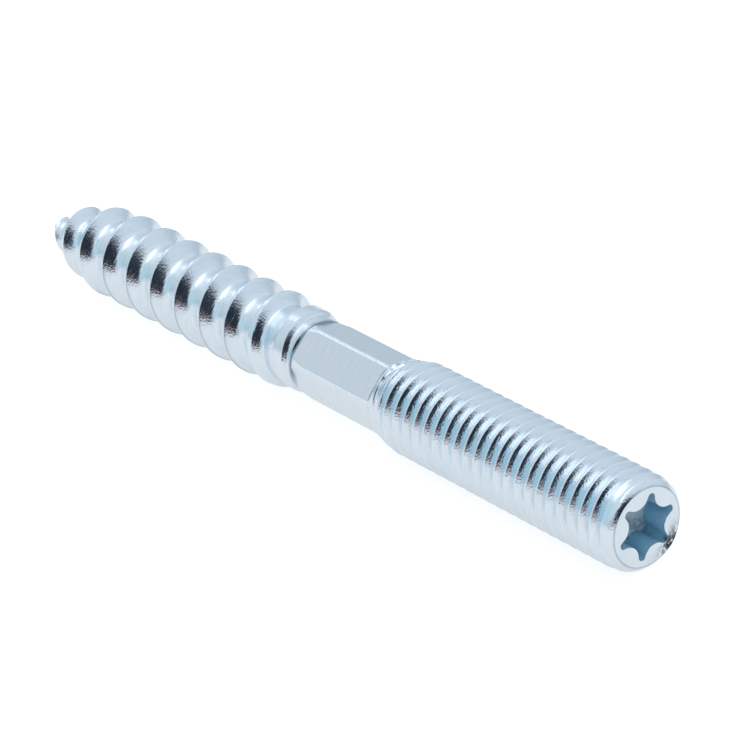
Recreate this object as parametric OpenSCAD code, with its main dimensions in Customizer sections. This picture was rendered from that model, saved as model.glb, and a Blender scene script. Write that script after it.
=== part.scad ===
// Hanger bolt, rolled and pressed from one steel rod. One end has a coarse wood thread that runs out
// to a sharp point, the other a machine thread with a six-lobe drive recess in its end face, and a
// hexagon for a spanner is pressed into the rod between them.
// The bolt lies along X with its wood point towards -X. The origin is on the bolt's axis, where the
// hexagon meets the machine thread.

/* [Machine thread] */
// Diameter over the crests
machine_d = 8; // [7.6:0.1:10]
// Diameter of the plain cone where the thread starts, next to the hexagon
machine_start_d = 6.9; // [6.85:0.05:7.3]
// Distance from one crest to the next
machine_pitch = 1.25; // [0.8:0.05:1.4]
// Length from the hexagon to the end face
machine_l = 30.5; // [15:0.5:60]
// Length over which the thread rises out of that cone
machine_runout_l = 3.2; // [1:0.1:6]
// Length of the rounded lead-in at the end face
lead_in_l = 2; // [0.5:0.25:4]
// Length next to the end face that has no groove
lead_in_plain_l = 0.5; // [0.1:0.1:2]
// Length over which the groove comes up to full depth from there
lead_in_groove_l = 1; // [0.2:0.1:4]
// Diameter of the flat end face
end_face_d = 6.6; // [6.2:0.1:7.4]
// Turn of the thread about the bolt's axis
machine_turn = 15; // [0:15:345]

/* [Drive recess] */
// Width across opposite lobes
recess_lobes_d = 5.5; // [4.8:0.1:5.9]
// Width across opposite valleys between the lobes
recess_valleys_d = 3.7; // [3.4:0.05:4.2]
// Radius of the round tip of each lobe
lobe_tip_r = 0.35; // [0.3:0.05:0.55]
// Depth of the straight walls
recess_depth = 3; // [1:0.25:6]
// Further depth of the cone at the bottom
recess_cone_depth = 0.7; // [0.2:0.1:2]

/* [Hexagon] */
// Width across the flats
hex_flats_w = 6; // [5:0.1:6.3]
// Length along the bolt
hex_l = 10; // [5:0.5:20]
// Diameter over the rounded corners
hex_corners_d = 6.75; // [6.3:0.05:6.8]
// Diameter over the corners where they start next to the wood thread
hex_start_d = 6.1; // [5.2:0.1:6.2]
// Length over which the corners rise from there
hex_corner_rise_l = 2.4; // [0.5:0.1:4]
// Turn of the flats and of the recess about the bolt's axis
hex_turn = 21; // [0:1:59]

/* [Wood thread] */
// Diameter over the crests
wood_d = 8; // [7:0.1:10]
// Diameter at the bottom of the grooves
wood_core_d = 5.6; // [4.5:0.1:6.2]
// Distance from one crest to the next
wood_pitch = 3.6; // [2.5:0.1:5]
// Length from the tip of the point to the hexagon
wood_l = 38.7; // [25:0.1:80]
// Width of the narrow land on each crest
wood_crest_w = 0.25; // [0.1:0.05:0.6]
// Slant of each side of a ridge away from square to the axis
wood_flank_angle = 30; // [20:1:40]
// Length over which the groove runs out towards the hexagon
wood_runout_l = 6; // [1:0.25:10]
// Diameter of the plain rod that is left there
rod_d = 7.35; // [6.8:0.05:7.8]
// Distance from the hexagon at which the crests start to rise above that rod
wood_crest_from = 2.4; // [1.5:0.1:5]
// Length over which they rise
wood_crest_rise_l = 2.6; // [0.5:0.1:5]
// Diameter of the neck that the rod slopes down to next to the hexagon
neck_d = 6.4; // [6.3:0.05:6.7]
// Slope of the neck: how much its radius grows over its length
neck_slope = 1.2; // [0.3:0.1:3]
// Length of the tapering point
point_l = 9.5; // [4:0.5:16]
// Diameter of the blunt spot at the very tip
point_tip_d = 0.6; // [0.2:0.05:1]
// Turn of the thread about the bolt's axis
wood_turn = 105; // [0:15:345]

/* [Hidden] */
$fn = 64;

// Facets round one turn of a thread, and the turn that lays a facet flat underneath
turn_facets = 24;
facet_turn = 180 / turn_facets;

// A metric thread's depth, crest land and root land, as shares of its pitch
machine_depth_share = 0.6134;
machine_crest_share = 1 / 8;
machine_root_share = 1 / 6;

// Points across the wood thread's groove, and how sharply its sides turn into its floor
groove_points = 8;
groove_sharpness = 6;

// How steeply the end of the machine thread rounds up from the end face
rounding = 4;

// Points along each round stretch of the recess outline
recess_arc_points = 6;

rod_r = rod_d / 2;
neck_r = neck_d / 2;
end_face_r = end_face_d / 2;
point_tip_r = point_tip_d / 2;
machine_crest_r = machine_d / 2;
machine_start_r = machine_start_d / 2;
machine_depth = machine_depth_share * machine_pitch;
wood_crest_r = wood_d / 2;
wood_core_r = wood_core_d / 2;
hex_sharp_r = hex_flats_w / 2 / cos(30);
hex_reach = 0.2;
recess_mouth_clearance = 0.5;

// Place of the tip of the point along the bolt's axis
point_end = -hex_l - wood_l;

// Where a value lies between the two ends of a range, from 0 to 1
function share(value, from, to) = min(1, max(0, (value - from) / (to - from)));

// The way from one value to another, by a share of it
function blend(from, to, part) = from + (to - from) * part;

// A curve that rises steeply from 0 and levels out at 1, an exponential
function rounded(part) = (1 - exp(-rounding * part)) / (1 - exp(-rounding));

// Points on an arc, without its last one
function arc(centre, r, from, to, steps) =
    [for (s = [0 : steps - 1]) centre + r * [cos(blend(from, to, s / steps)), sin(blend(from, to, s / steps))]];

// One pitch of the machine thread: each point's place along the pitch and its height from root to crest
machine_profile = [
    [0, 1],
    [machine_crest_share, 1],
    [(1 + machine_crest_share - machine_root_share) / 2, 0],
    [(1 + machine_crest_share + machine_root_share) / 2, 0],
];

// One pitch of the wood thread: a narrow crest land, then straight sides that turn into a round floor
wood_groove_w = wood_pitch - wood_crest_w;
wood_flank_w = (wood_crest_r - wood_core_r) * tan(wood_flank_angle);
function groove_height(from_crest) =
    ln(1 + exp(groove_sharpness * (1 - from_crest / wood_flank_w))) / groove_sharpness;
wood_profile = concat(
    [[0, 1]],
    [for (s = [0 : groove_points - 1])
        let (across = wood_groove_w * s / groove_points)
        [(wood_crest_w + across) / wood_pitch, groove_height(min(across, wood_groove_w - across))]]
);

// The machine thread rises out of a cone next to the hexagon, and rounds down to the end face, where
// its groove fades out
function machine_r(along, height) =
    let (
        from_end = machine_l - along,
        risen = share(along, 0, machine_runout_l),
        risen_r = blend(machine_start_r, machine_crest_r, risen),
        crest_r = blend(end_face_r, risen_r, rounded(share(from_end, 0, lead_in_l))),
        groove = share(from_end, lead_in_plain_l, lead_in_plain_l + lead_in_groove_l)
    )
    crest_r - machine_depth * (1 - height) * risen * groove;

// The wood thread swells from the tip along the point. Towards the hexagon its groove is lifted out
// of the rod, its crests come down to the rod, and the rod slopes down to the neck.
function wood_r(along, height) =
    let (
        from_hex = max(0, wood_l - along),
        swell = 1 - pow(1 - share(along, 0, point_l), 2),
        risen = share(from_hex, wood_crest_from, wood_crest_from + wood_crest_rise_l),
        ridge_r = blend(rod_r, wood_crest_r, risen),
        floor_r = blend(rod_r, wood_core_r, share(from_hex, 0, wood_runout_l)),
        thread_r = min(ridge_r, floor_r + (wood_crest_r - wood_core_r) * height)
    )
    min(blend(point_tip_r, thread_r, swell), neck_r + neck_slope * from_hex);

// The outline of the recess: round lobe tips joined by hollow valleys that meet them smoothly
lobe_centre = recess_lobes_d / 2 - lobe_tip_r;
valley_r =
    (pow(lobe_centre, 2) + pow(recess_valleys_d / 2, 2) - lobe_centre * recess_valleys_d * cos(30)
        - pow(lobe_tip_r, 2))
    / (2 * lobe_tip_r + 2 * lobe_centre * cos(30) - recess_valleys_d);
valley_centre = recess_valleys_d / 2 + valley_r;
lobe_half_angle = atan2(valley_centre * sin(30), valley_centre * cos(30) - lobe_centre);
recess_outline = [
    for (lobe = [0 : 60 : 300])
        each concat(
            arc(lobe_centre * [cos(lobe), sin(lobe)], lobe_tip_r,
                lobe - lobe_half_angle, lobe + lobe_half_angle, recess_arc_points),
            arc(valley_centre * [cos(lobe + 30), sin(lobe + 30)], valley_r,
                lobe + 180 + lobe_half_angle, lobe + 240 - lobe_half_angle, recess_arc_points)
        )
];

// A right-hand thread along Z from 0 to l. The profile is carried along a helix that starts a pitch
// before 0 and ends a pitch past l, and is then cut off square at both.
// radius(along, height) gives the surface's distance from the axis.
module rolled_thread(l, pitch, profile, radius, widest_r) {
    rows = len(profile);
    steps = turn_facets * ceil(l / pitch + 1);
    first_line = steps + turn_facets + 1;

    function along(step, row) = pitch * (step / turn_facets - 1 + profile[row][0]);
    function corner(step, row) =
        let (
            r = radius(along(step, row), profile[row][1]),
            angle = facet_turn + 360 * step / turn_facets
        )
        [r * cos(angle), r * sin(angle), along(step, row)];
    function id(step, row) =
        row == 0 ? step : row == rows ? step + turn_facets : first_line + step * (rows - 1) + row - 1;

    corners = concat(
        [for (step = [0 : first_line - 1]) corner(step, 0)],
        [for (step = [0 : steps]) for (row = [1 : rows - 1]) corner(step, row)]
    );
    start_centre = len(corners);
    end_centre = start_centre + 1;
    sides = [
        for (step = [0 : steps - 1])
            for (row = [0 : rows - 1])
                each [
                    [id(step, row), id(step, row + 1), id(step + 1, row + 1)],
                    [id(step, row), id(step + 1, row + 1), id(step + 1, row)],
                ]
    ];
    start_cap = concat(
        [for (step = [0 : turn_facets - 1]) [start_centre, id(step, 0), id(step + 1, 0)]],
        [for (row = [0 : rows - 1]) [start_centre, id(0, row + 1), id(0, row)]]
    );
    end_cap = concat(
        [for (step = [steps : steps + turn_facets - 1]) [end_centre, step + 1, step]],
        [for (row = [0 : rows - 1]) [end_centre, id(steps, row), id(steps, row + 1)]]
    );
    intersection() {
        polyhedron(
            concat(corners, [[0, 0, along(0, 0)], [0, 0, along(steps, 0) + pitch]]),
            concat(sides, start_cap, end_cap)
        );
        cylinder(h = l, r = 2 * widest_r);
    }
}

// The hexagon, with rounded corners that are drawn in next to the wood thread. It reaches a little way
// into both threads, so that the bolt is one solid.
module hexagon() {
    intersection() {
        rotate([0, 0, hex_turn])
            translate([0, 0, -hex_reach]) cylinder(h = hex_l + 2 * hex_reach, r = hex_sharp_r, $fn = 6);
        rotate_extrude()
            polygon([
                [0, -hex_reach],
                [hex_start_d / 2, -hex_reach],
                [hex_start_d / 2, 0],
                [hex_corners_d / 2, hex_corner_rise_l],
                [hex_corners_d / 2, hex_l + hex_reach],
                [0, hex_l + hex_reach],
            ]);
    }
}

// What the recess takes out of the end face: straight lobed walls over a shallow cone
module recess() {
    rotate([0, 0, hex_turn + 30]) {
        translate([0, 0, -recess_depth])
            linear_extrude(recess_depth + recess_mouth_clearance) polygon(recess_outline);
        translate([0, 0, -recess_depth - recess_cone_depth])
            cylinder(h = recess_cone_depth, r1 = 0, r2 = recess_valleys_d / 2);
    }
}

module hanger_bolt() {
    color("lightsteelblue")
        rotate([0, 90, 0])
            difference() {
                union() {
                    translate([0, 0, point_end])
                        rotate([0, 0, wood_turn])
                            rolled_thread(wood_l, wood_pitch, wood_profile,
                                function(along, height) wood_r(along, height), wood_crest_r);
                    translate([0, 0, -hex_l]) hexagon();
                    rotate([0, 0, machine_turn])
                        rolled_thread(machine_l, machine_pitch, machine_profile,
                            function(along, height) machine_r(along, height), machine_crest_r);
                }
                translate([0, 0, machine_l]) recess();
            }
}

hanger_bolt();
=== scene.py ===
import bmesh
import bpy
import numpy as np
from mathutils import Matrix, Vector


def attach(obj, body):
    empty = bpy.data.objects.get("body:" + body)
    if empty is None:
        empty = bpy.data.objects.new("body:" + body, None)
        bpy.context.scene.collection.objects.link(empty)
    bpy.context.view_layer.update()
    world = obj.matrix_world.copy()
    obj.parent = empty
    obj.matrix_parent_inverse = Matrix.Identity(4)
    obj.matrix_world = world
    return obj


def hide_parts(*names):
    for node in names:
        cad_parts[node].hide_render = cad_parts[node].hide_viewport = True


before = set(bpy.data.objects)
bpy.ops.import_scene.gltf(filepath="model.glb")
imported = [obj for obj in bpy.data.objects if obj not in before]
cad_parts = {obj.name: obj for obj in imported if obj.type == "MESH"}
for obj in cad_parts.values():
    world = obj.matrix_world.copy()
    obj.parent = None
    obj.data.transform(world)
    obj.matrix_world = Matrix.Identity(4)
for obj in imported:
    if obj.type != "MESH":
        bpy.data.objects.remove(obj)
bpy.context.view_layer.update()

# Hanger bolt
# One steel rod, with both threads rolled, the hexagon and the lobed drive recess pressed into it, and
# then zinc plated and passivated. Sizes are in millimetres along X, with the wood point at the low end.
# The hexagon starts at -hex_l and runs on to machine_from, where the machine thread starts.

MM = 0.001
COLUMNS = 96

wood_d = 8.0
wood_core_d = 5.6
wood_pitch = 3.6
wood_l = 38.7
wood_crest_w = 0.25
wood_flank_deg = 30.0
wood_groove_sharpness = 5.0
wood_lifted_sharpness = 9.0
wood_last_sharpness = 25.0
wood_crest_sharpness = 90.0
wood_rounding = 0.008
wood_start_deg = 22.5
wood_runout_l = 6.0
wood_lifted_d = 6.7
wood_lifted_l = 2.3
rod_d = 7.35
wood_crest_from = 2.4
wood_crest_rise_l = 2.6
neck_d = 6.46
neck_l = 0.5
wood_end_from = 0.2
wood_end_l = 0.8
point_l = 9.5
point_core_power = 1.4
point_tip_d = 0.6
nib_l = 0.4
nib_swell_l = 0.6
point_bent_by = 0.35
point_bent_l = 12.0

hex_flats_w = 6.0
hex_l = 10.0
hex_corners_d = 6.75
hex_start_d = 6.4
hex_corner_rise_l = 1.6
hex_wall_slope = 1.2
hex_wall_rounding = 0.03
hex_turn_deg = 21.0
hex_fillet_l = 0.6

machine_d = 8.0
machine_start_d = 6.9
machine_from = 0.9
machine_pitch = 1.25
machine_depth = 0.6134 * machine_pitch
machine_crest_w = machine_pitch / 8
machine_root_w = machine_pitch / 12
machine_groove_sharpness = 16.0
machine_crest_sharpness = 60.0
machine_rounding = 0.012
machine_l = 30.5
machine_runout_l = 3.2
machine_start_deg = -67.5
burr_deg = 102.0
burr_along = 1.5
burr_h = 0.18
burr_l = 0.6
burr_spread_rad = 0.5
lead_in_l = 2.0
lead_in_plain_l = 0.3
lead_in_groove_l = 0.6
lead_in_rounding = 4.5
end_face_d = 6.6
knock_deg = -39.0
knock_spread_rad = 0.35
knock_out = 0.13
knock_dent = 0.12
knock_dent_at = 0.35
knock_dent_reach = 0.3

recess_lobes_d = 5.5
recess_valleys_d = 3.7
lobe_tip_r = 0.35
recess_depth = 2.4
recess_cone_depth = 0.5
mouth_edge_r = 0.05

# Places and strengths of the dark lines of painted shade and painted reflection.
crease_at = 0.12
crease_w = 0.14
crease_middle_deg = 100.0
edge_line_w = 0.05
edge_line_strength = 0.6
crest_line_w = 0.05
crest_line_strength = 0.55
crest_line_middle_deg = 205.0
scuff_spread_rad = 0.4
scuff_from_r = 2.3
scuff_full_r = 2.9
scuff_l = 0.3
scuff_in_recess = 0.3
pressed_l = 0.3

point_end = -hex_l - wood_l


def share(value, start, end):
    """How far value lies from start to end, held between 0 and 1."""
    return np.clip((value - start) / (end - start), 0.0, 1.0)


def blend(start, end, part):
    """start plus part of the way to end."""
    return start + (end - start) * part


def soft_min(first, second, radius):
    """The smaller of two values, with the corner between them rounded over about radius: minus the
    logarithm of the sum of two falling exponentials."""
    return -radius * np.logaddexp(-first / radius, -second / radius)


def ridge_height(from_crest, crest_w, flank_w, floor_sharpness, crest_sharpness):
    """Height of a thread's profile from 0 at the root to 1 at the crest: a straight flank, bent
    softly into the floor of the groove and over into the crest land. Each bend is the logarithm of
    one plus an exponential, and the sharper it is the smaller its radius."""
    flank = 1 - (np.abs(from_crest) - crest_w / 2) / flank_w
    risen = np.logaddexp(0.0, floor_sharpness * flank) / floor_sharpness
    return risen - np.logaddexp(0.0, crest_sharpness * (risen - 1)) / crest_sharpness


def past(angle, from_deg):
    """How far an angle lies past from_deg, between minus and plus half a turn, in radians."""
    return (angle - np.radians(from_deg) + np.pi) % (2 * np.pi) - np.pi


def ragged(angle, along):
    """Uneven values between -1 and 1, as the product of two fast waves round the bolt."""
    return np.sin(41 * angle) * np.sin(67 * angle + 9 * along)


def turned(x, radius, angle):
    """Points at distance radius from the X axis, at an angle from +Y towards +Z."""
    x, radius, angle = np.broadcast_arrays(x, radius, angle)
    return np.stack([x, radius * np.cos(angle), radius * np.sin(angle)], axis=-1)


def columns_round():
    """The angles of the columns round the bolt, from the middle of a flat and back to it."""
    return np.radians(hex_turn_deg) + np.linspace(0, 2 * np.pi, COLUMNS + 1)


def helix_grid(start, end, pitch, start_deg, half_rows):
    """Place along a thread, angle round it, distance past the last crest and the place of that crest,
    on a grid of one helical turn after another. Along a row the angle grows by a column a step and
    the place by a pitch a turn. The rows go from the middle of one crest to the middle of the next:
    half_rows are those as far as the middle of the groove, and the others mirror them. Places before
    start and past end are held there, which cuts both ends off square."""
    rows = np.concatenate([half_rows, pitch - half_rows[-2::-1]])
    first_turn = np.floor((start_deg - hex_turn_deg) / 360) - 1
    steps = np.arange(COLUMNS * int(np.ceil(end / pitch + 2)) + 1)
    angle = np.radians(hex_turn_deg) + 2 * np.pi * (first_turn + steps / COLUMNS)
    past_crest, angle = np.meshgrid(rows, angle, indexing="ij")
    crest = pitch * (angle - np.radians(start_deg)) / (2 * np.pi)
    along = np.clip(crest + past_crest, start, end)
    return along, angle, past_crest, crest


def bend_point(points):
    """Moves points towards the front and down by a parabola that starts point_bent_l from the tip."""
    part = 1 - share(points[..., 0] - point_end, 0, point_bent_l)
    return points - point_bent_by * part[..., None] ** 2 * np.array([0, 1, 1])


def wood_thread():
    """Radius = floor of the groove plus thread depth times the ridge's height, held under the line of
    the crests. Both lines swell from the tip as a power of the way along the point, the crests faster
    than the floor, and the tip is pinched to a nib. Towards the hexagon the floor is lifted, the
    crests come down to the rod, the last crest dies out, and the last groove opens into the neck."""
    half_rows = np.array([
        0, 0.1, 0.125, 0.15, 0.2, 0.3, 0.42, 0.54, 0.6, 0.66, 0.72, 0.78, 0.85, 0.92, 1.1, 1.4, 1.8,
    ])
    crest_middle_deg = wood_start_deg - 360 * wood_crest_w / 2 / wood_pitch
    along, angle, past_crest, crest = helix_grid(0.0, wood_l, wood_pitch, crest_middle_deg, half_rows)
    from_crest = np.minimum(past_crest, wood_pitch - past_crest)
    from_hex = wood_l - along
    crest_from_hex = wood_l - crest - wood_pitch * np.round(past_crest / wood_pitch)
    last_groove = 1 - share(wood_l - crest - wood_pitch / 2, 0, neck_l)
    depth = (wood_d - wood_core_d) / 2
    flank_w = depth * np.tan(np.radians(wood_flank_deg))
    lifted = 1 - share(from_hex, wood_lifted_l, wood_runout_l)
    sharpness = blend(wood_groove_sharpness, wood_lifted_sharpness, lifted)
    sharpness = blend(sharpness, wood_last_sharpness, last_groove)
    height = ridge_height(from_crest, wood_crest_w, flank_w, sharpness, wood_crest_sharpness)
    risen = share(from_hex, wood_crest_from, wood_crest_from + wood_crest_rise_l)
    ridge = blend(rod_d / 2, wood_d / 2, risen)
    floor = blend(wood_core_d / 2, wood_lifted_d / 2, lifted)
    floor = blend(floor, neck_d / 2, last_groove)
    not_ended = share(crest_from_hex, wood_end_from, wood_end_from + wood_end_l)
    ridge = blend(neck_d / 2, ridge, not_ended)
    to_tip = 1 - share(along, 0, point_l)
    ridge = blend(point_tip_d / 2, ridge, 1 - to_tip ** 2)
    floor = blend(point_tip_d / 2, floor, 1 - to_tip ** point_core_power)
    thread = soft_min(ridge, floor + depth * height, wood_rounding)
    pinched = blend(point_tip_d / 2, thread, share(along, nib_l, nib_l + nib_swell_l))
    radius = blend(neck_d / 2, pinched, share(from_hex, 0, neck_l))
    return bend_point(turned(point_end + along, radius, angle))


def hexagon():
    """Radius = the distance to the nearest flat, held under the rounded corners, which are drawn in
    beside the wood thread, and above the steep wall that the press left at the neck. A hollow fillet
    leads up to the machine thread. The columns follow the edges between flats and corners, so that
    these stay crisp."""
    even = columns_round()
    hex_end = hex_l + machine_from
    fillet_at = hex_end - hex_fillet_l
    along = np.concatenate([
        np.linspace(0, 0.4, 13),
        np.linspace(0.6, fillet_at, 29),
        np.linspace(fillet_at, hex_end, 11)[1:],
    ])[:, None]
    corner_r = blend(hex_start_d / 2, hex_corners_d / 2, share(along, 0, hex_corner_rise_l))
    flat_half = np.arccos(hex_flats_w / 2 / corner_r)
    sector, step = np.divmod(np.arange(COLUMNS + 1), COLUMNS // 6)
    flat_parts = np.array([0, 0.25, 0.5, 0.75, 0.95, 1])
    on_flat = np.concatenate([flat_parts, np.ones(5), flat_parts[::-1]])[step]
    on_corner = np.clip((step - 5) / 6, 0, 1)
    side = np.where(step > 10, -1, 1)
    from_flat = np.where(
        on_flat < 1, side * on_flat * flat_half, blend(flat_half, np.pi / 3 - flat_half, on_corner)
    )
    whole = sector + np.where((step > 10) & (on_flat < 1), 1, 0)
    angle = even[0] + whole * np.pi / 3 + from_flat
    to_flat = (from_flat + np.pi / 6) % (np.pi / 3) - np.pi / 6
    radius = np.minimum(hex_flats_w / 2 / np.cos(to_flat), corner_r)
    radius = -soft_min(-radius, hex_wall_slope * along - neck_d / 2, hex_wall_rounding)
    fillet = share(along, fillet_at, hex_end) ** 2
    sides = turned(along - hex_l, blend(radius, machine_start_d / 2, fillet), angle)
    start = turned(-hex_l, neck_d / 2, even)[None]
    end = turned(machine_from, machine_start_d / 2, even)[None]
    return np.concatenate([start, sides, end])


def end_edge_r(angle):
    """Radius of the end face's edge, which was knocked outwards at one place: a bell curve there."""
    return end_face_d / 2 + knock_out * np.exp(-(past(angle, knock_deg) / knock_spread_rad) ** 2)


def machine_thread():
    """Radius = floor of the groove plus thread depth times the ridge's height, held under an outer
    line. The outer line is a cone beside the hexagon, then straight, then rounds down to the end face
    along an exponential. The floor sinks in along the cone, and comes up to the outer line again
    before the end face. The first crests beside the hexagon are ragged at one place."""
    half_rows = np.array([0, 0.05, 0.07, 0.09, 0.12, 0.2, 0.3, 0.41, 0.49, 0.55, 0.625])
    crest_middle_deg = machine_start_deg - 360 * machine_crest_w / 2 / machine_pitch
    along, angle, past_crest, _ = helix_grid(
        machine_from, machine_l, machine_pitch, crest_middle_deg, half_rows
    )
    from_crest = np.minimum(past_crest, machine_pitch - past_crest)
    flank_w = (machine_pitch - machine_crest_w - machine_root_w) / 2
    height = ridge_height(
        from_crest, machine_crest_w, flank_w, machine_groove_sharpness, machine_crest_sharpness
    )
    from_end = machine_l - along
    risen = share(along, machine_from, machine_runout_l)
    rounded = 1 - np.exp(-lead_in_rounding * share(from_end, 0, lead_in_l))
    rounded = rounded / (1 - np.exp(-lead_in_rounding))
    outer = blend(end_edge_r(angle), blend(machine_start_d / 2, machine_d / 2, risen), rounded)
    floor = blend(machine_start_d / 2, machine_d / 2 - machine_depth, risen)
    sunk = share(from_end, lead_in_plain_l, lead_in_plain_l + lead_in_groove_l)
    floor = blend(outer, np.minimum(floor, outer), sunk)
    radius = soft_min(outer, floor + machine_depth * height, machine_rounding)
    burr = np.exp(
        -(past(angle, burr_deg) / burr_spread_rad) ** 2 - ((along - burr_along) / burr_l) ** 2
    )
    radius = radius + burr_h * burr * ragged(angle, along)
    radius = np.where(from_end > 0, radius, end_edge_r(angle))
    radius = np.where(along > machine_from, radius, machine_start_d / 2)
    return turned(along, radius, angle)


def recess_outline(angle):
    """Six round lobe tips joined by hollow valleys that meet them smoothly. Each twelfth of a turn
    is worked out as two arcs, and the points are spread evenly along them."""
    lobe_at = recess_lobes_d / 2 - lobe_tip_r
    cos30 = np.cos(np.pi / 6)
    half_valleys = recess_valleys_d / 2
    valley_r = lobe_at ** 2 + half_valleys ** 2 - 2 * lobe_at * half_valleys * cos30 - lobe_tip_r ** 2
    valley_r /= 2 * lobe_tip_r + 2 * lobe_at * cos30 - recess_valleys_d
    valley_at = half_valleys + valley_r
    tip_angle = np.arctan2(valley_at / 2, valley_at * cos30 - lobe_at)
    turn = (angle - np.radians(hex_turn_deg)) / (np.pi / 3)
    lobe = np.round(turn)
    side = np.sign(turn - lobe)
    tip_l = lobe_tip_r * tip_angle
    valley_l = valley_r * (tip_angle - np.pi / 6)
    run = np.abs(turn - lobe) * 2 * (tip_l + valley_l)
    on_tip = run < tip_l
    swing = run / lobe_tip_r
    tip_x = lobe_at + lobe_tip_r * np.cos(swing)
    tip_y = lobe_tip_r * np.sin(swing)
    back = np.pi + tip_angle - (run - tip_l) / valley_r
    valley_x = valley_at * cos30 + valley_r * np.cos(back)
    valley_y = valley_at / 2 + valley_r * np.sin(back)
    x = np.where(on_tip, tip_x, valley_x)
    y = np.where(on_tip, tip_y, valley_y) * side
    spin = lobe * np.pi / 3 + np.radians(hex_turn_deg)
    spun_x = x * np.cos(spin) - y * np.sin(spin)
    spun_y = x * np.sin(spin) + y * np.cos(spin)
    return np.stack([spun_x, spun_y], axis=-1)


def end_and_recess():
    """Rings from the edge of the end face inwards to the mouth of the recess, over its small round
    edge, straight down its walls, and on to the axis over a shallow cone. Beside the knocked edge the
    face has an uneven dent, as a bell curve both ways."""
    angle = columns_round()
    rim = end_edge_r(angle)[:, None] * np.stack([np.cos(angle), np.sin(angle)], axis=-1)
    outline = recess_outline(angle)
    mouth = outline * (1 + mouth_edge_r / (recess_valleys_d / 2))

    def ring(x, yz):
        return np.concatenate([np.full((len(yz), 1), x), yz], axis=1)[None]

    part = np.linspace(0, 1, 15)[:, None]
    round_rim = (past(angle, knock_deg) / knock_spread_rad) ** 2
    across = ((part - knock_dent_at) / knock_dent_reach) ** 2
    knocked = np.exp(-round_rim - across) * (part > 0) * (part < 1)
    dented = machine_l - knock_dent * knocked * (1 + ragged(angle, 20 * part))
    face = [np.concatenate([dented[..., None], blend(rim, mouth, part[..., None])], axis=-1)]
    edge = [
        ring(machine_l - mouth_edge_r * (1 - np.cos(turn)), blend(mouth, outline, np.sin(turn)))
        for turn in np.radians([30, 60, 90])
    ]
    walls = [ring(machine_l - depth, outline) for depth in np.linspace(0.25, recess_depth, 10)]
    bottom = [
        ring(machine_l - recess_depth - recess_cone_depth * part, outline * (1 - part))
        for part in np.linspace(0.1, 1, 7)
    ]
    return np.concatenate(face + edge + walls + bottom)


def tip_cap():
    """Two rings that close the blunt spot at the very tip."""
    angle = columns_round()
    radius = np.array([[0.0], [point_tip_d / 2]])
    return bend_point(turned(point_end, radius, angle))


def wear_and_painted_shade(mesh):
    """Values between 0 and 1 at each point of the mesh, by name. pressed grows over the first part of
    the recess, and film_depth is the same without its floor. scuff is a bell curve round the knocked
    edge, with some on the lower part of the recess floor. The last value adds three dark lines of
    painted
    light, each a bell curve across: painted shade where the hexagon starts and at the edge of the end
    face, and a painted reflection along the lower edges of the wood crests."""
    places = np.empty(3 * len(mesh.vertices), np.float32)
    mesh.vertices.foreach_get("co", places)
    x, y, z = places.reshape(-1, 3).T / MM
    angle = np.arctan2(z, y)
    radius = np.hypot(y, z)
    deep = machine_l - x
    along = x - point_end

    in_recess = (radius < recess_lobes_d / 2 + mouth_edge_r) & (deep < 2 * recess_depth)
    pressed = in_recess * share(deep, 0.0, pressed_l)
    film_depth = pressed * (1 - share(deep, recess_depth, recess_depth + 0.05))

    scuff = np.exp(-(past(angle, knock_deg) / scuff_spread_rad) ** 2)
    scuff = scuff * share(radius, scuff_from_r, scuff_full_r) * (deep < scuff_l)
    on_floor = in_recess * (deep > recess_depth - 0.01)
    scuff = scuff + scuff_in_recess * on_floor * share(-z, -0.1, 0.7)

    # Painted shade: a dark line in the crease where the hexagon starts, faded out on the underside.
    painted_shade = np.exp(-((x + hex_l - crease_at) / crease_w) ** 2) * (radius < neck_d / 2 + 0.05)
    painted_shade = painted_shade * share(np.cos(angle - np.radians(crease_middle_deg)), -0.6, 0)
    # Painted shade: a dark line along the edge of the end face.
    edge = np.exp(-((radius - end_edge_r(angle)) / edge_line_w) ** 2) * (deep < 0.1)
    # Painted reflection: a dark line along the lower edges of the wood crests, on the lower front only.
    crest = wood_pitch * (angle - np.radians(wood_start_deg)) / (2 * np.pi) + wood_crest_w / 2
    past_crest = (along - crest) % wood_pitch
    line = np.exp(-((past_crest - wood_crest_w / 2) / crest_line_w) ** 2)
    line = line * (along > point_l) * (along < wood_l - wood_crest_from - wood_crest_rise_l)
    line = line * share(np.cos(angle - np.radians(crest_line_middle_deg)), 0.5, 0.9)
    painted_shade = painted_shade + edge_line_strength * edge + crest_line_strength * line
    return {"pressed": pressed, "film_depth": film_depth, "scuff": scuff, "painted_shade": painted_shade}


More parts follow.
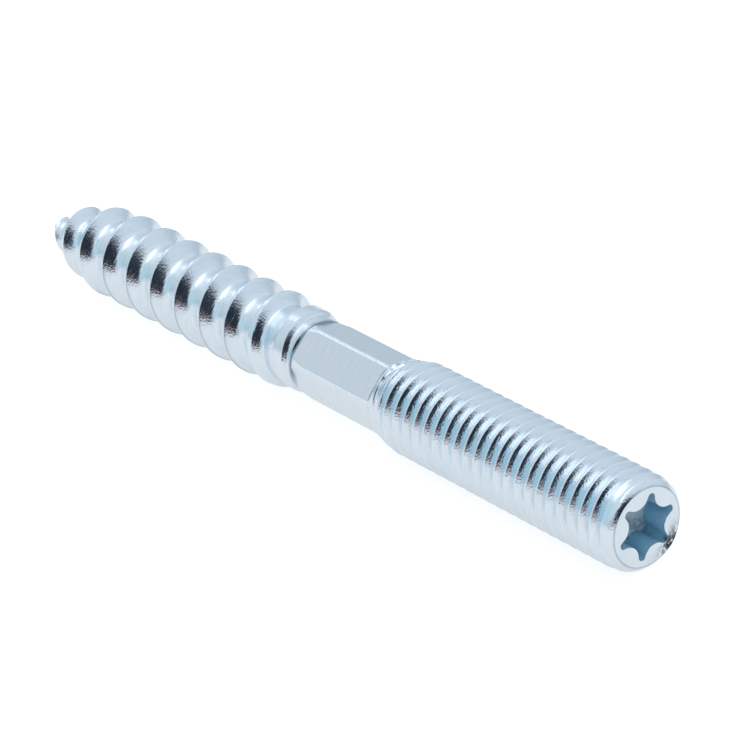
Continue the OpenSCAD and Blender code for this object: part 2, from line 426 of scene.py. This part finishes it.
def solid_from_grids(name, grids):
    """One mesh from several grids of points, with a quad between each two rows and columns.
    Points that fall together are then merged, which closes the seams, the ends and the poles. The
    worn places and the lines of painted shade and reflection are kept on it as attributes."""
    points = []
    quads = []
    first = 0
    for grid in grids:
        rows, columns = grid.shape[:2]
        index = first + np.arange(rows * columns).reshape(rows, columns)
        corners = [index[:-1, :-1], index[:-1, 1:], index[1:, 1:], index[1:, :-1]]
        quads.append(np.stack(corners, axis=-1).reshape(-1, 4))
        points.append(grid.reshape(-1, 3))
        first += rows * columns
    mesh = bpy.data.meshes.new(name)
    mesh.from_pydata(np.concatenate(points) * MM, [], np.concatenate(quads))
    shape = bmesh.new()
    shape.from_mesh(mesh)
    bmesh.ops.remove_doubles(shape, verts=shape.verts, dist=0.0005 * MM)
    bmesh.ops.recalc_face_normals(shape, faces=shape.faces)
    shape.to_mesh(mesh)
    shape.free()
    mesh.shade_smooth()
    mesh.set_sharp_from_angle(angle=np.radians(30))
    for label, values in wear_and_painted_shade(mesh).items():
        mesh.attributes.new(label, "FLOAT", "POINT").data.foreach_set("value", values)
    piece = bpy.data.objects.new(name, mesh)
    bpy.context.scene.collection.objects.link(piece)
    return piece


bolt = solid_from_grids(
    "hanger_bolt_rolled",
    [tip_cap(), wood_thread(), hexagon(), machine_thread(), end_and_recess()],
)


def linear(hex_colour):
    """An sRGB hex colour as linear red, green, blue and alpha."""
    srgb = np.array([int(hex_colour[i:i + 2], 16) for i in (1, 3, 5)]) / 255
    return (*np.where(srgb <= 0.04045, srgb / 12.92, ((srgb + 0.055) / 1.055) ** 2.4), 1.0)


def add_node(tree, kind, inputs=None, **settings):
    """Adds a node, sets its properties, and sets or links its inputs by name or number."""
    node = tree.nodes.new(kind)
    for key, value in settings.items():
        setattr(node, key, value)
    for key, value in (inputs or {}).items():
        if isinstance(value, bpy.types.NodeSocket):
            tree.links.new(value, node.inputs[key])
        else:
            node.inputs[key].default_value = value
    return node


# Zinc plating with a blue passivation film: a bright, slightly grainy metal with fine rolling marks
# round the rod. The film has pooled to a dull blue-green on the walls of the recess, and the knocked
# place is torn and dark. Painted shade darkens the crease where the hexagon starts and the edge of the
# end face, and a painted reflection darkens the lower edges of the wood crests.
cloud_w = 2.5
mark_w = 0.14
mark_l = 1.5
mark_h = 0.013
grain_w = 0.16
grain_h = 0.018
torn_w = 0.3
torn_h = 0.3
film_colours = "#DCE8F1", "#E6EEF5"
pooled_film_colour = "#9ECDE3"
torn_colour = "#3A3B3F"
# The colour of the dark lines of painted shade and painted reflection.
painted_shade_colour = "#7D909E"
roughness_range = 0.09, 0.17
recess_roughness = 0.45
recess_metallic = 0.25

zinc = bpy.data.materials.new("blue_passivated_zinc_plating")
zinc.use_nodes = True
tree = zinc.node_tree
tree.nodes.clear()
place = add_node(tree, "ShaderNodeTexCoord").outputs["Object"]
cloud = add_node(tree, "ShaderNodeTexNoise", {
    "Vector": place, "Scale": 1 / (cloud_w * MM), "Detail": 4.0,
})
round_rod = add_node(tree, "ShaderNodeVectorMath", {
    0: place, 1: (1 / (mark_w * MM), 1 / (mark_l * MM), 1 / (mark_l * MM)),
}, operation="MULTIPLY")
marks = add_node(tree, "ShaderNodeTexNoise", {
    "Vector": round_rod.outputs[0], "Scale": 1.0, "Detail": 3.0,
})
stained = add_node(tree, "ShaderNodeMapRange", {
    "Value": marks.outputs["Fac"], "From Min": 0.3, "From Max": 0.7,
})
film = add_node(tree, "ShaderNodeMix", {
    "Factor": stained.outputs["Result"], "A": linear(film_colours[0]), "B": linear(film_colours[1]),
}, data_type="RGBA")
pooled = add_node(tree, "ShaderNodeAttribute", attribute_name="film_depth")
deep_film = add_node(tree, "ShaderNodeMix", {
    "Factor": pooled.outputs["Fac"], "A": film.outputs["Result"], "B": linear(pooled_film_colour),
}, data_type="RGBA")
torn = add_node(tree, "ShaderNodeTexNoise", {
    "Vector": place, "Scale": 1 / (torn_w * MM), "Detail": 3.0,
})
speck = add_node(tree, "ShaderNodeMapRange", {
    "Value": torn.outputs["Fac"], "From Min": 0.42, "From Max": 0.52,
})
scuff = add_node(tree, "ShaderNodeAttribute", attribute_name="scuff")
scuffed = add_node(tree, "ShaderNodeMath", {
    0: scuff.outputs["Fac"], 1: speck.outputs["Result"],
}, operation="MULTIPLY")
torn_film = add_node(tree, "ShaderNodeMix", {
    "Factor": scuffed.outputs[0], "A": deep_film.outputs["Result"], "B": linear(torn_colour),
}, data_type="RGBA")
# Painted shade and reflection: the dark lines are mixed into the coat's colour.
painted_shade = add_node(tree, "ShaderNodeAttribute", attribute_name="painted_shade")
coat_and_painted_shade = add_node(tree, "ShaderNodeMix", {
    "Factor": painted_shade.outputs["Fac"], "A": torn_film.outputs["Result"], "B": linear(painted_shade_colour),
}, data_type="RGBA")
gloss = add_node(tree, "ShaderNodeMapRange", {
    "Value": cloud.outputs["Fac"], "From Min": 0.3, "From Max": 0.7,
    "To Min": roughness_range[0], "To Max": roughness_range[1],
})
pressed = add_node(tree, "ShaderNodeAttribute", attribute_name="pressed")
rough = add_node(tree, "ShaderNodeMix", {
    "Factor": pressed.outputs["Fac"], "A": gloss.outputs["Result"], "B": recess_roughness,
})
bare = add_node(tree, "ShaderNodeMapRange", {
    "Value": pressed.outputs["Fac"], "To Min": 1.0, "To Max": recess_metallic,
})
grain = add_node(tree, "ShaderNodeTexNoise", {
    "Vector": place, "Scale": 1 / (grain_w * MM), "Detail": 2.0,
})
grainy = add_node(tree, "ShaderNodeBump", {
    "Height": grain.outputs["Fac"], "Distance": grain_h * MM, "Strength": 1.0,
})
rolled = add_node(tree, "ShaderNodeBump", {
    "Height": marks.outputs["Fac"], "Distance": mark_h * MM, "Strength": 1.0,
    "Normal": grainy.outputs["Normal"],
})
tears = add_node(tree, "ShaderNodeMath", {
    0: scuff.outputs["Fac"], 1: torn.outputs["Fac"],
}, operation="MULTIPLY")
uneven = add_node(tree, "ShaderNodeBump", {
    "Height": tears.outputs[0], "Distance": torn_h * MM, "Strength": 1.0,
    "Normal": rolled.outputs["Normal"],
})
metal = add_node(tree, "ShaderNodeBsdfPrincipled", {
    "Base Color": coat_and_painted_shade.outputs["Result"], "Roughness": rough.outputs["Result"],
    "Metallic": bare.outputs["Result"], "Normal": uneven.outputs["Normal"],
})
add_node(tree, "ShaderNodeOutputMaterial", {"Surface": metal.outputs["BSDF"]})
bolt.data.materials.append(zinc)

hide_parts("hanger_bolt")
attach(bolt, "root")

# Table top
# A plain white sheet under the bolt, which lies on the crests of both threads. It looks white to the
# camera and keeps a soft shadow. In the bolt's reflections its glow is painted dimmer and reddish
# further along +X, towards the dark gap in the light tent: a painted reflection.
floor_half_w = 3.0
floor_z = -machine_d / 2 * MM
paper_colour = "#F4F4F4"
paper_glow = 0.65
glow_to_camera = 1.3
# Where the sheet's painted reflection dims, and to which tone.
dim_from = 45.0
dim_to = 130.0
dim_tone = (0.28, 0.16, 0.17, 1.0)
floor_mesh = bpy.data.meshes.new("table_top")
corners = floor_half_w * np.array([[-1, -1, 0], [1, -1, 0], [1, 1, 0], [-1, 1, 0]])
floor_mesh.from_pydata(corners + [0, 0, floor_z], [], [[0, 1, 2, 3]])
floor = bpy.data.objects.new("table_top", floor_mesh)
bpy.context.scene.collection.objects.link(floor)
paper = bpy.data.materials.new("white_paper")
paper.use_nodes = True
tree = paper.node_tree
tree.nodes.clear()
rays = add_node(tree, "ShaderNodeLightPath")
seen = add_node(tree, "ShaderNodeMath", {
    0: rays.outputs["Is Camera Ray"], 1: rays.outputs["Is Glossy Ray"],
}, operation="ADD", use_clamp=True)
matt = add_node(tree, "ShaderNodeBsdfDiffuse", {"Color": linear(paper_colour)})
level = add_node(tree, "ShaderNodeMapRange", {
    "Value": rays.outputs["Is Camera Ray"], "To Min": 1.0, "To Max": glow_to_camera,
})
place = add_node(tree, "ShaderNodeTexCoord").outputs["Object"]
# Painted reflection: only glossy rays see the sheet dimmer and reddish further along +X.
beyond = add_node(tree, "ShaderNodeMapRange", {
    "Value": add_node(tree, "ShaderNodeSeparateXYZ", {"Vector": place}).outputs["X"],
    "From Min": dim_from * MM, "From Max": dim_to * MM,
})
dimmed = add_node(tree, "ShaderNodeMath", {
    0: beyond.outputs["Result"], 1: rays.outputs["Is Glossy Ray"],
}, operation="MULTIPLY")
tone = add_node(tree, "ShaderNodeMix", {
    "Factor": dimmed.outputs[0], "A": (1.0, 1.0, 1.0, 1.0), "B": dim_tone,
}, data_type="RGBA")
glow = add_node(tree, "ShaderNodeEmission", {
    "Color": tone.outputs["Result"], "Strength": level.outputs["Result"],
})
glowing = add_node(tree, "ShaderNodeMath", {
    0: seen.outputs[0], 1: paper_glow,
}, operation="MULTIPLY")
mixed = add_node(tree, "ShaderNodeMixShader", {
    "Fac": glowing.outputs[0], 1: matt.outputs["BSDF"], 2: glow.outputs["Emission"],
})
add_node(tree, "ShaderNodeOutputMaterial", {"Surface": mixed.outputs["Shader"]})
floor_mesh.materials.append(paper)

# Light
# A white light tent: pale blue-grey walls with a few tinted and grey places, one soft box overhead, a
# small light beyond the point, and a dark gap low down beyond the end face.
world = bpy.data.worlds.new("light_tent")
world.use_nodes = True
tree = world.node_tree
tree.nodes.clear()
rays = add_node(tree, "ShaderNodeLightPath")
direction = add_node(tree, "ShaderNodeTexCoord").outputs["Generated"]


def patch(colour_under, label, centre, squash, inner, outer, colour):
    """Lays a soft-edged oval patch of colour over colour_under. centre is the direction of its
    middle, squash stretches directions along X, Y and Z so that an oval becomes round, and inner
    and outer are the distances from the middle at which the patch starts and ends fading."""
    away = add_node(tree, "ShaderNodeVectorMath", {0: direction, 1: centre}, operation="SUBTRACT")
    oval = add_node(tree, "ShaderNodeVectorMath", {0: away.outputs[0], 1: squash}, operation="MULTIPLY")
    reach = add_node(tree, "ShaderNodeVectorMath", {0: oval.outputs[0]}, operation="LENGTH")
    inside = add_node(tree, "ShaderNodeMapRange", {
        "Value": reach.outputs["Value"], "From Min": inner, "From Max": outer,
        "To Min": 1.0, "To Max": 0.0,
    }, interpolation_type="SMOOTHSTEP")
    laid = add_node(tree, "ShaderNodeMix", {
        "Factor": inside.outputs["Result"], "A": colour_under, "B": (*colour, 1.0),
    }, data_type="RGBA", label=label)
    return laid.outputs["Result"]


height = add_node(tree, "ShaderNodeSeparateXYZ", {"Vector": direction}).outputs["Z"]
walls = add_node(tree, "ShaderNodeValToRGB", {"Fac": height})
ramp = walls.color_ramp
ramp.elements[0].position = 0.0
ramp.elements[0].color = (0.52, 0.59, 0.66, 1.0)
ramp.elements[1].position = 1.0
ramp.elements[1].color = (0.78, 0.85, 0.91, 1.0)
ramp.elements.new(0.35).color = (0.69, 0.77, 0.84, 1.0)
tent = walls.outputs["Color"]
patches = [
    ("bluer front", (-0.20, -0.88, 0.42), (0.8, 1.0, 0.8), 0.20, 0.55, (0.53, 0.76, 0.85)),
    ("dark far end", (-0.98, -0.05, 0.05), (1.0, 0.6, 1.2), 0.05, 0.28, (0.20, 0.26, 0.30)),
    ("grey front corner", (-0.72, -0.52, 0.47), (1.0, 1.0, 1.0), 0.08, 0.25, (0.70, 0.735, 0.77)),
    ("grey back corner", (-0.72, 0.66, 0.20), (1.0, 1.0, 1.0), 0.08, 0.25, (0.56, 0.63, 0.69)),
    ("soft box", (-0.20, -0.16, 0.95), (0.5, 0.6, 1.0), 0.18, 0.36, (1.35, 1.43, 1.5)),
    ("far light", (-0.78, 0.10, 0.60), (1.0, 1.0, 1.0), 0.05, 0.14, (1.5, 1.55, 1.6)),
    ("dark gap", (0.88, -0.26, 0.27), (1.0, 0.6, 0.8), 0.22, 0.42, (0.020, 0.028, 0.042)),
    ("reddish foot of the gap", (0.96, -0.22, 0.03), (1.0, 0.5, 2.6), 0.08, 0.26, (0.24, 0.16, 0.17)),
]
for laid_patch in patches:
    tent = patch(tent, *laid_patch)
seen_white = add_node(tree, "ShaderNodeMix", {
    "Factor": rays.outputs["Is Camera Ray"], "A": tent, "B": (1.0, 1.0, 1.0, 1.0),
}, data_type="RGBA")
sky = add_node(tree, "ShaderNodeBackground", {"Color": seen_white.outputs["Result"]})
add_node(tree, "ShaderNodeOutputWorld", {"Surface": sky.outputs["Background"]})
bpy.context.scene.world = world

# Camera
# It looks down on the bolt from in front of its end face, with a long lens.
camera_data = bpy.data.cameras.new("camera")
camera_data.sensor_width = 36.0
camera_data.lens = 179.3
camera_data.clip_start = 0.01
camera = bpy.data.objects.new("camera", camera_data)
camera_at = Vector((216.2, -172.2, 125.1)) * MM
right = Vector((0.6184, 0.7859, 0.0))
up = Vector((-0.3200, 0.2518, 0.9134))
back = Vector((0.7178, -0.5648, 0.4072))
camera.matrix_world = Matrix.Translation(camera_at) @ Matrix((right, up, back)).transposed().to_4x4()
bpy.context.scene.collection.objects.link(camera)
bpy.context.scene.camera = camera
bpy.context.scene.view_settings.view_transform = "Standard"
